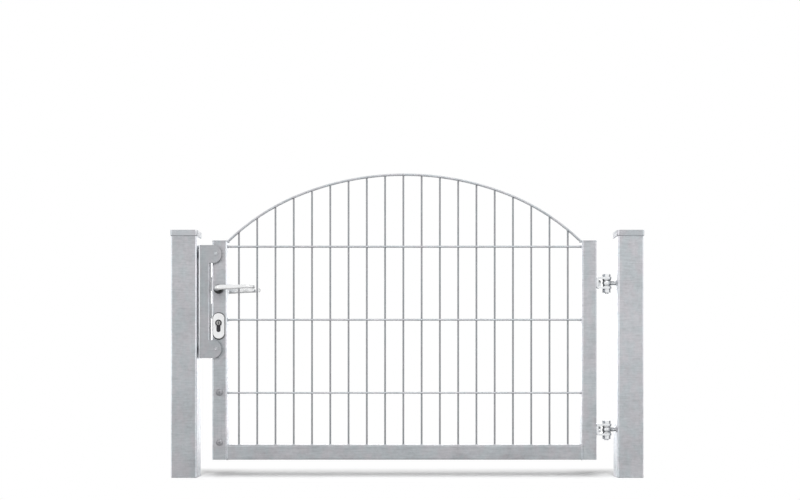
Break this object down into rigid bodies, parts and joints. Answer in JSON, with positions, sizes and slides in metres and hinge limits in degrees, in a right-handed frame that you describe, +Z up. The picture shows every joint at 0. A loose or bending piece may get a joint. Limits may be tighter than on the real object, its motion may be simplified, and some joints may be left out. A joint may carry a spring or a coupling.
{
  "type": "swing gate",
  "caption": "Arched single-leaf garden gate of galvanised tube and rod mesh between square posts, with lever lock, stop plate and eye-bolt hinges.",
  "frame": {"origin": "centre of the hinge post's foot, at ground level", "axes": "+Z up, +X from the strike post towards the hinge post, +Y to the back, where the leaf opens to"},
  "size_m": [1.285, 0.1514, 0.8295],
  "materials": {
    "galvanised_tube": "hot-dip galvanised, mottled, dull",
    "galvanised_cap": "galvanised sheet, slightly brighter",
    "galvanised_rod": "hot-dip galvanised rod",
    "galvanised_sheet": "galvanised folded sheet",
    "zinc_plated_steel": "bright zinc plate",
    "nickelled_steel": "satin nickel",
    "polished_steel": "polished stainless steel",
    "black_plastic": "black nylon",
    "buffer_rubber": "black rubber"
  },
  "bodies": {
    "posts": {"strike_post": "galvanised_tube", "hinge_post": "galvanised_tube", "strike_post_cap": "galvanised_cap", "hinge_post_cap": "galvanised_cap", "upper_eye_bolt": "zinc_plated_steel", "lower_eye_bolt": "zinc_plated_steel", "upper_eye_bush": "zinc_plated_steel", "lower_eye_bush": "zinc_plated_steel", "stop_plate": "galvanised_sheet", "upper_stop_buffer": "buffer_rubber", "lower_stop_buffer": "buffer_rubber", "upper_buffer_rivet": "zinc_plated_steel", "lower_buffer_rivet": "zinc_plated_steel", "upper_stop_bolt": "zinc_plated_steel", "lower_stop_bolt": "zinc_plated_steel"},
    "leaf": {"lock_stile": "galvanised_tube", "hinge_stile": "galvanised_tube", "bottom_rail": "galvanised_tube", "lock_stile_end": "galvanised_tube", "hinge_stile_end": "galvanised_tube", "mesh_panel": "galvanised_rod", "upper_hinge_bracket": "zinc_plated_steel", "lower_hinge_bracket": "zinc_plated_steel", "upper_hinge_pin": "zinc_plated_steel", "lower_hinge_pin": "zinc_plated_steel", "upper_hinge_nut": "zinc_plated_steel", "lower_hinge_nut": "zinc_plated_steel", "upper_hinge_washers": "zinc_plated_steel", "lower_hinge_washers": "zinc_plated_steel", "upper_bracket_bolt": "zinc_plated_steel", "lower_bracket_bolt": "zinc_plated_steel", "mortise_lock": "nickelled_steel", "latch_bolt": "nickelled_steel", "dead_bolt": "nickelled_steel", "profile_cylinder": "nickelled_steel", "front_escutcheon": "polished_steel", "rear_escutcheon": "polished_steel", "front_lever_ring": "black_plastic", "rear_lever_ring": "black_plastic", "upper_stile_screw": "zinc_plated_steel", "lower_stile_screw": "zinc_plated_steel"},
    "handle": {"front_lever": "polished_steel", "rear_lever": "polished_steel", "lever_spindle": "nickelled_steel"}
  },
  "joints": [
    {"name": "gate_swing", "type": "hinge", "parent": "posts", "child": "leaf", "pos_m": [-0.06, 0, 0.33], "axis": [0, 0, -1], "range_deg": [0, 90]},
    {"name": "lever_turn", "type": "hinge", "parent": "leaf", "child": "handle", "pos_m": [-1.118, 0, 0.512], "axis": [0, 1, 0], "range_deg": [0, 40], "stiffness_Nm_per_rad": 1.5, "springref_deg": -28.65}
  ]
}
